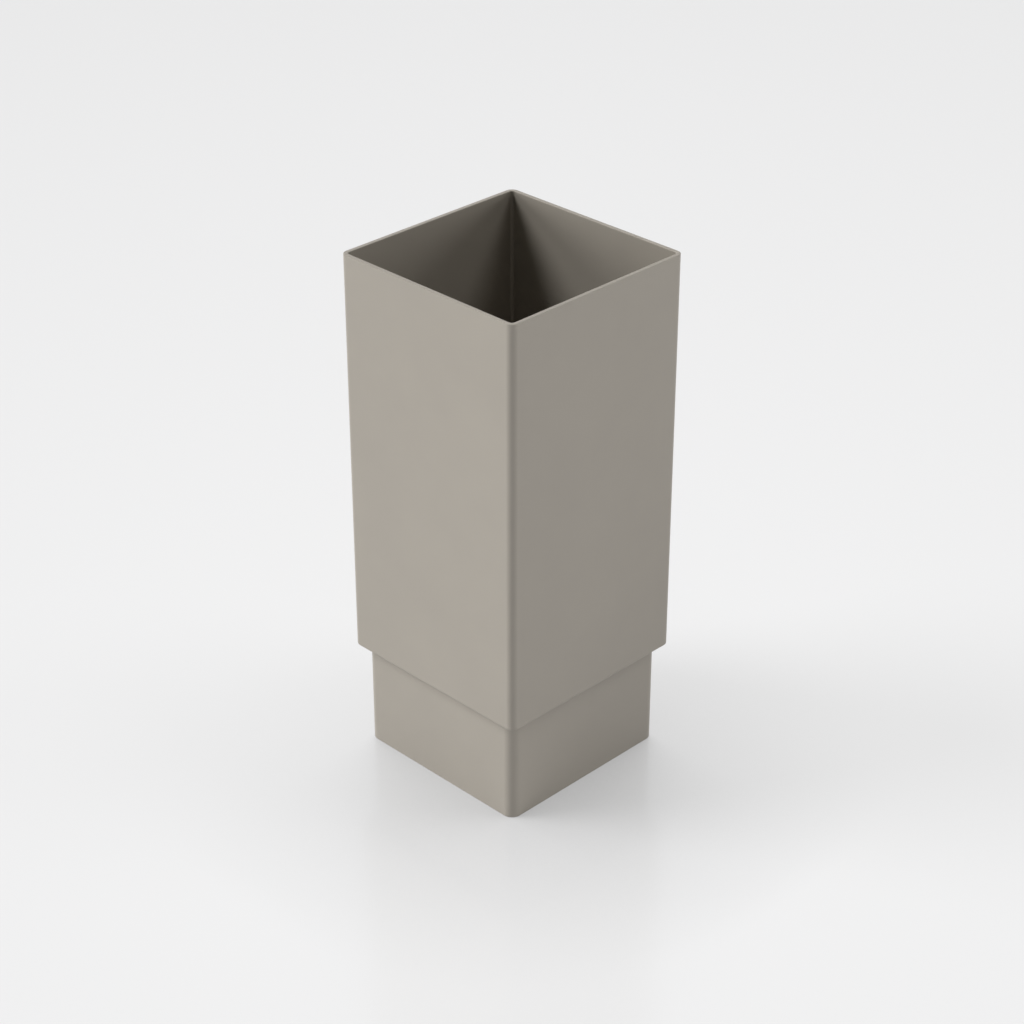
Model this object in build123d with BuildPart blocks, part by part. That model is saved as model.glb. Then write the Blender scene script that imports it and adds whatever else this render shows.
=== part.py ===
from build123d import *
import os

# Square downpipe: one length of square aluminium tube, open at both ends.
# Its lower end is pressed in to a smaller square spigot, which drops into the body of the pipe below.
# The wall keeps its thickness through the shoulder where the body steps in.
# Millimetres, +Z up the pipe, origin at the centre of the spigot's lower rim.

# Tube
body_side = 100.0
body_length = 190.0
wall = 2.0
body_inside_corner = 1.5

# Spigot, with the gap left on each side when it stands in a body like this one
spigot_length = 50.0
joint_clearance = 2.0
spigot_inside_corner = 3.0

# Shoulder bends, measured on the outside of the pipe, and the softened edges of both cut ends
shoulder_edge_radius = 1.0
shoulder_root_radius = 0.8
rim_edge_radius = 0.3

# Widths and heights that follow
socket_side = body_side - 2 * wall
spigot_side = socket_side - 2 * joint_clearance
bore_side = spigot_side - 2 * wall
body_corner = body_inside_corner + wall
spigot_corner = spigot_inside_corner + wall
height = spigot_length + body_length
shoulder_top = spigot_length + wall
shoulder_lip_radius = shoulder_root_radius + wall


def level_faces(pipe):
    """The pipe's horizontal faces, from the lowest to the highest."""
    return pipe.faces().filter_by(Plane.XY).sort_by(Axis.Z)


with BuildPart() as downpipe:
    # Outside: the spigot, and the wider body standing on it
    with BuildSketch(Plane.XY):
        RectangleRounded(spigot_side, spigot_side, spigot_corner)
    extrude(amount=spigot_length)
    with BuildSketch(Plane.XY.offset(spigot_length)):
        RectangleRounded(body_side, body_side, body_corner)
    extrude(amount=body_length)

    # Shoulder: the body's lower edge turns in, and the spigot's root turns down
    shoulder = level_faces(downpipe)[1]
    fillet(shoulder.outer_wire().edges(), shoulder_edge_radius)
    shoulder = level_faces(downpipe)[1]
    fillet(shoulder.inner_wires()[0].edges(), shoulder_root_radius)

    # Inside: the waterway through the spigot, and the wider socket above the shoulder
    with BuildSketch(Plane.XY):
        RectangleRounded(bore_side, bore_side, spigot_inside_corner)
    extrude(amount=shoulder_top, mode=Mode.SUBTRACT)
    with BuildSketch(Plane.XY.offset(shoulder_top)):
        RectangleRounded(socket_side, socket_side, body_inside_corner)
    extrude(amount=height - shoulder_top, mode=Mode.SUBTRACT)

    # Inside of the shoulder: the lip bends round the same centre as the root below it
    lip = level_faces(downpipe)[2].inner_wires()[0]
    fillet(lip.edges(), shoulder_lip_radius)

    # Cut ends: both rims have their sharp edges taken off
    for rim in (level_faces(downpipe)[0], level_faces(downpipe)[-1]):
        fillet(rim.edges(), rim_edge_radius)

downpipe.part.label = "downpipe"

os.makedirs("parts", exist_ok=True)
export_step(downpipe.part, "parts/downpipe.step")
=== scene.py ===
import math

import bmesh
import bpy
from mathutils import Euler, Matrix, Vector


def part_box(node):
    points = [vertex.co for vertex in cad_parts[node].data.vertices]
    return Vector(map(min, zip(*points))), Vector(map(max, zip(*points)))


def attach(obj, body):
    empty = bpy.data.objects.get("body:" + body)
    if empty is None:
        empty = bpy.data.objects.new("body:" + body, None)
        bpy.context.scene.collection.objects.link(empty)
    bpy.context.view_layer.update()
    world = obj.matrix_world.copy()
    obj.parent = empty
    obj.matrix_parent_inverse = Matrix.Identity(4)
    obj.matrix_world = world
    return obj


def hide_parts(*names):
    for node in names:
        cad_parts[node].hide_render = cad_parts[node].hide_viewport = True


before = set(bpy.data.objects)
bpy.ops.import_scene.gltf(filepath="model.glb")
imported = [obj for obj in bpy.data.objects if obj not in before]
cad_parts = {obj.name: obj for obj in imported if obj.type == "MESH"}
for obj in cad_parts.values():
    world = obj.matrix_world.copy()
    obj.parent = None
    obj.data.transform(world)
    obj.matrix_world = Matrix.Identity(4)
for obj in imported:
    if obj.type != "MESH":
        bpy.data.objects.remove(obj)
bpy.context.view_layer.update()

# Pipe wall
# One length of square aluminium tube, open at both ends. Its lower end is pressed in to a smaller square
# spigot that drops into the pipe below, so body, shoulder and spigot are one unbroken wall of even thickness.
MM = 0.001
pipe_low, pipe_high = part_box("downpipe")
body_side = pipe_high.x - pipe_low.x
wall = 2.0 * MM
joint_clearance = 2.0 * MM
shoulder_height = 50.0 * MM
body_inside_corner = 1.5 * MM
spigot_inside_corner = 3.0 * MM
shoulder_edge_radius = 1.0 * MM
shoulder_root_radius = 0.8 * MM
shoulder_lip_radius = shoulder_root_radius + wall
rim_edge_radius = 0.3 * MM
corner_segments = 12
edge_segments = 4

socket_side = body_side - 2 * wall
spigot_side = socket_side - 2 * joint_clearance
bore_side = spigot_side - 2 * wall
body_corner = body_inside_corner + wall
spigot_corner = spigot_inside_corner + wall
shoulder_bottom = pipe_low.z + shoulder_height
shoulder_top = shoulder_bottom + wall

shape = bmesh.new()


def sleeve(side, corner, bottom, top, inside):
    """One face of the wall: a square box with rounded long corners and no ends. Gives its two open edges."""
    middle = Matrix.Translation((0, 0, (bottom + top) / 2))
    stretch = Matrix.Diagonal((side, side, top - bottom, 1))
    box = bmesh.ops.create_cube(shape, size=1, matrix=middle @ stretch)
    box_edges = {edge for vert in box["verts"] for edge in vert.link_edges}
    long_edges = [edge for edge in box_edges if edge.verts[0].co.z != edge.verts[1].co.z]
    bmesh.ops.bevel(shape, geom=long_edges, offset=corner, offset_type="OFFSET", affect="EDGES",
                    segments=corner_segments, profile=0.5, material=-1)
    # The two ends are the only faces that look up and down
    shape.normal_update()
    ends = sorted((face for face in shape.faces if abs(face.normal.z) > 0.9),
                  key=lambda face: face.calc_center_median().z)
    loops = [list(end.edges) for end in ends]
    bmesh.ops.delete(shape, geom=ends, context="FACES_ONLY")
    if inside:
        bmesh.ops.reverse_faces(shape, faces=[edge.link_faces[0] for edge in loops[0]])
    return loops


def round_over(edges, radius):
    """Turns one square edge of the wall into a bend of that radius."""
    bmesh.ops.bevel(shape, geom=edges, offset=radius, offset_type="OFFSET", affect="EDGES",
                    segments=edge_segments, profile=0.5, material=-1, clamp_overlap=True)


body_low, body_high = sleeve(body_side, body_corner, shoulder_bottom, pipe_high.z, False)
socket_low, socket_high = sleeve(socket_side, body_inside_corner, shoulder_top, pipe_high.z, True)
spigot_low, spigot_high = sleeve(spigot_side, spigot_corner, pipe_low.z, shoulder_bottom, False)
bore_low, bore_high = sleeve(bore_side, spigot_inside_corner, pipe_low.z, shoulder_top, True)

for outer, inner in ((body_high, socket_high), (body_low, spigot_high),
                     (socket_low, bore_high), (spigot_low, bore_low)):
    bmesh.ops.bridge_loops(shape, edges=outer + inner)
bmesh.ops.recalc_face_normals(shape, faces=shape.faces)

round_over(body_low, shoulder_edge_radius)
round_over(spigot_high, shoulder_root_radius)
round_over(bore_high, shoulder_lip_radius)
for rim in (body_high, socket_high, spigot_low, bore_low):
    round_over(rim, rim_edge_radius)

pipe_mesh = bpy.data.meshes.new("pipe_wall")
shape.to_mesh(pipe_mesh)
shape.free()
pipe_mesh.shade_smooth()
pipe = bpy.data.objects.new("pipe_wall", pipe_mesh)
bpy.context.scene.collection.objects.link(pipe)

# The flat sides stay flat up to the bends
flats = pipe.modifiers.new("flat sides", "WEIGHTED_NORMAL")
flats.mode = "FACE_AREA"

# Satin warm grey powder coat with a little aluminium flake, baked on after forming. It gives an even grey
# with a soft sheen, a very fine orange peel, and a faint cloudiness where the powder lies thicker.
coat_thin = "#969087"
coat_thick = "#9E988E"
coat_flake = 0.25
coat_ior = 1.5
sheen_thin = 0.42
sheen_thick = 0.50
peel_width = 0.7 * MM
peel_depth = 0.02 * MM
cloud_width = 35.0 * MM


def linear(hex_colour):
    """An sRGB hex colour as the linear colour that a shader takes."""
    parts = [int(hex_colour[i:i + 2], 16) / 255 for i in (1, 3, 5)]
    return (*(c / 12.92 if c <= 0.04045 else ((c + 0.055) / 1.055) ** 2.4 for c in parts), 1)


def add(tree, kind, settings, sockets):
    """Adds a node with its own settings. Each socket gets a value, or a link from another node's output."""
    made = tree.nodes.new(kind)
    for name, value in settings.items():
        setattr(made, name, value)
    for name, value in sockets.items():
        if isinstance(value, bpy.types.NodeSocket):
            tree.links.new(value, made.inputs[name])
        else:
            made.inputs[name].default_value = value
    return made


coat = bpy.data.materials.new("satin_grey_powder_coat")
coat.use_nodes = True
coat_tree = coat.node_tree
coat_tree.nodes.clear()
coat_place = add(coat_tree, "ShaderNodeTexCoord", {}, {}).outputs["Object"]
peel = add(coat_tree, "ShaderNodeTexNoise", {},
           {"Vector": coat_place, "Scale": 1 / peel_width, "Detail": 2.0, "Roughness": 0.5}).outputs["Fac"]
clouds = add(coat_tree, "ShaderNodeTexNoise", {},
             {"Vector": coat_place, "Scale": 1 / cloud_width, "Detail": 3.0,
              "Roughness": 0.55}).outputs["Fac"]
coat_colour = add(coat_tree, "ShaderNodeMix", {"data_type": "RGBA"},
                  {"Factor": clouds, 6: linear(coat_thin), 7: linear(coat_thick)}).outputs[2]
sheen = add(coat_tree, "ShaderNodeMapRange", {},
            {"Value": clouds, "To Min": sheen_thin, "To Max": sheen_thick}).outputs["Result"]
skin = add(coat_tree, "ShaderNodeBump", {},
           {"Height": peel, "Strength": 0.05, "Distance": peel_depth}).outputs["Normal"]
coat_finish = add(coat_tree, "ShaderNodeBsdfPrincipled", {},
                  {"Base Color": coat_colour, "Metallic": coat_flake, "Roughness": sheen, "IOR": coat_ior,
                   "Normal": skin})
add(coat_tree, "ShaderNodeOutputMaterial", {}, {"Surface": coat_finish.outputs["BSDF"]})
pipe_mesh.materials.append(coat)

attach(pipe, "root")
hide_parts("downpipe")

# Floor
# A wide studio floor in pale paint with a faint polish, so the pipe's foot shows softly in it. To the eye the
# paint has a glow of its own, painted light which keeps it pale with no more light on the pipe; the glow
# carries a painted pool of light and a painted shadow of the pipe.
floor_radius = 40000.0 * MM
floor_polish = 0.18
floor_ior = 1.6
floor_bounce_grey = "#F7F7F8"
floor_seen_grey = "#676768"
glow_level = 0.73
pool_start = 200.0 * MM
pool_end = 1800.0 * MM
glow_past_pool = 0.86
shade_reach = 120.0 * MM
shade_power = 0.5
shade_lean = math.radians(40)
shade_turn = math.radians(245)

floor_shape = bmesh.new()
bmesh.ops.create_circle(floor_shape, cap_ends=True, segments=96, radius=floor_radius)
floor_mesh = bpy.data.meshes.new("studio_floor")
floor_shape.to_mesh(floor_mesh)
floor_shape.free()
floor = bpy.data.objects.new("studio_floor", floor_mesh)
bpy.context.scene.collection.objects.link(floor)


def seen_directly(tree):
    """1 where the eye meets a surface itself, in a reflection or through glass, and 0 for bounced light."""
    path = add(tree, "ShaderNodeLightPath", {}, {}).outputs
    mirrored = add(tree, "ShaderNodeMath", {"operation": "MAXIMUM"},
                   {0: path["Is Glossy Ray"], 1: path["Is Transmission Ray"]}).outputs[0]
    return add(tree, "ShaderNodeMath", {"operation": "MAXIMUM"},
               {0: path["Is Camera Ray"], 1: mirrored}).outputs[0]


floor_paint = bpy.data.materials.new("pale_studio_floor")
floor_paint.use_nodes = True
floor_tree = floor_paint.node_tree
floor_tree.nodes.clear()
floor_seen = seen_directly(floor_tree)
floor_colour = add(floor_tree, "ShaderNodeMix", {"data_type": "RGBA"},
                   {"Factor": floor_seen, 6: linear(floor_bounce_grey),
                    7: linear(floor_seen_grey)}).outputs[2]

# The glow is strongest in a painted pool of light round the pipe
floor_place = add(floor_tree, "ShaderNodeTexCoord", {}, {}).outputs["Object"]
floor_reach = add(floor_tree, "ShaderNodeVectorMath", {"operation": "LENGTH"},
                  {0: floor_place}).outputs["Value"]
painted_light_pool = add(floor_tree, "ShaderNodeMapRange", {},
                 {"Value": floor_reach, "From Min": pool_start, "From Max": pool_end,
                  "To Min": glow_level, "To Max": glow_level * glow_past_pool}).outputs["Result"]

# Painted shadow: the pipe shades the glow softly, most in front and to the right, because the shade looks up
# to the back
shade_normal = Euler((shade_lean, 0, shade_turn)).to_matrix() @ Vector((0, 0, 1))
shade_side = add(floor_tree, "ShaderNodeCombineXYZ", {},
                 {"X": shade_normal.x, "Y": shade_normal.y, "Z": shade_normal.z}).outputs["Vector"]
floor_open = add(floor_tree, "ShaderNodeAmbientOcclusion", {"samples": 16},
                 {"Distance": shade_reach, "Normal": shade_side}).outputs["AO"]
painted_pipe_shadow = add(floor_tree, "ShaderNodeMath", {"operation": "POWER"},
                  {0: floor_open, 1: shade_power}).outputs[0]
floor_light = add(floor_tree, "ShaderNodeMath", {"operation": "MULTIPLY"},
                  {0: painted_light_pool, 1: painted_pipe_shadow}).outputs[0]
floor_light_seen = add(floor_tree, "ShaderNodeMath", {"operation": "MULTIPLY"},
                       {0: floor_light, 1: floor_seen}).outputs[0]

# The polish lies over the paint, and mirrors more the flatter it is seen
floor_coat = add(floor_tree, "ShaderNodeBsdfDiffuse", {}, {"Color": floor_colour}).outputs["BSDF"]
# The floor's painted light, seen only by the eye and in reflections
floor_glow = add(floor_tree, "ShaderNodeEmission", {}, {"Strength": floor_light_seen}).outputs["Emission"]
floor_under = add(floor_tree, "ShaderNodeAddShader", {}, {0: floor_coat, 1: floor_glow}).outputs["Shader"]
floor_gloss = add(floor_tree, "ShaderNodeBsdfGlossy", {},
                  {"Color": (1, 1, 1, 1), "Roughness": floor_polish}).outputs["BSDF"]
floor_mirror = add(floor_tree, "ShaderNodeFresnel", {}, {"IOR": floor_ior}).outputs["Fac"]
floor_finish = add(floor_tree, "ShaderNodeMixShader", {}, {0: floor_mirror, 1: floor_under, 2: floor_gloss})
add(floor_tree, "ShaderNodeOutputMaterial", {}, {"Surface": floor_finish.outputs["Shader"]})
floor_mesh.materials.append(floor_paint)

# Light
# A tall soft light stands to the left of the pipe and a weaker one to its right, each made of a high lamp and
# a low one. A dim low light behind the pipe tells its two back sides apart.
scene = bpy.context.scene
view_azimuth = 45.0
left, right, behind = -90.0, 90.0, 180.0
left_high, right_high, low, back_low = 44.0, 56.0, 8.0, 15.0
lamp_width = math.radians(26)
for name, side, rise, strength in (("left_light", left, left_high, 2.85),
                                   ("left_low_light", left, low, 2.05),
                                   ("right_light", right, right_high, 1.1),
                                   ("right_low_light", right, low, 1.14),
                                   ("back_light", behind, back_low, 0.6)):
    lamp = bpy.data.lights.new(name, "SUN")
    lamp.energy = strength
    lamp.angle = lamp_width
    light = bpy.data.objects.new(name, lamp)
    light.rotation_euler = Euler((math.radians(90 - rise), 0, math.radians(view_azimuth + side)))
    light.visible_glossy = False
    scene.collection.objects.link(light)

# Room
# A dim even room all round, with a pale backdrop that the eye and the reflections see.
room_light = 0.02
backdrop = 0.8
room = bpy.data.worlds.new("studio_room")
room.use_nodes = True
scene.world = room
room_tree = room.node_tree
room_tree.nodes.clear()
room_level = add(room_tree, "ShaderNodeMapRange", {},
                 {"Value": seen_directly(room_tree), "To Min": room_light,
                  "To Max": backdrop}).outputs["Result"]
room_glow = add(room_tree, "ShaderNodeBackground", {}, {"Color": (1, 1, 1, 1), "Strength": room_level})
add(room_tree, "ShaderNodeOutputWorld", {}, {"Surface": room_glow.outputs["Background"]})
scene.view_settings.view_transform = "Standard"

# Camera
# It stands on the diagonal of the pipe, above the upper rim, and looks down at the front corner.
camera_distance = 907.8 * MM
camera_height = 633.5 * MM
camera_tip = math.radians(29.604)
camera_turn = math.radians(view_azimuth)
lens = bpy.data.cameras.new("camera")
lens.sensor_width = 36.0
lens.lens = 84.3
camera = bpy.data.objects.new("camera", lens)
camera.location = (camera_distance * math.sin(camera_turn), -camera_distance * math.cos(camera_turn),
                   pipe_low.z + camera_height)
camera.rotation_euler = Euler((math.radians(90) - camera_tip, 0, camera_turn))
scene.collection.objects.link(camera)
scene.camera = camera
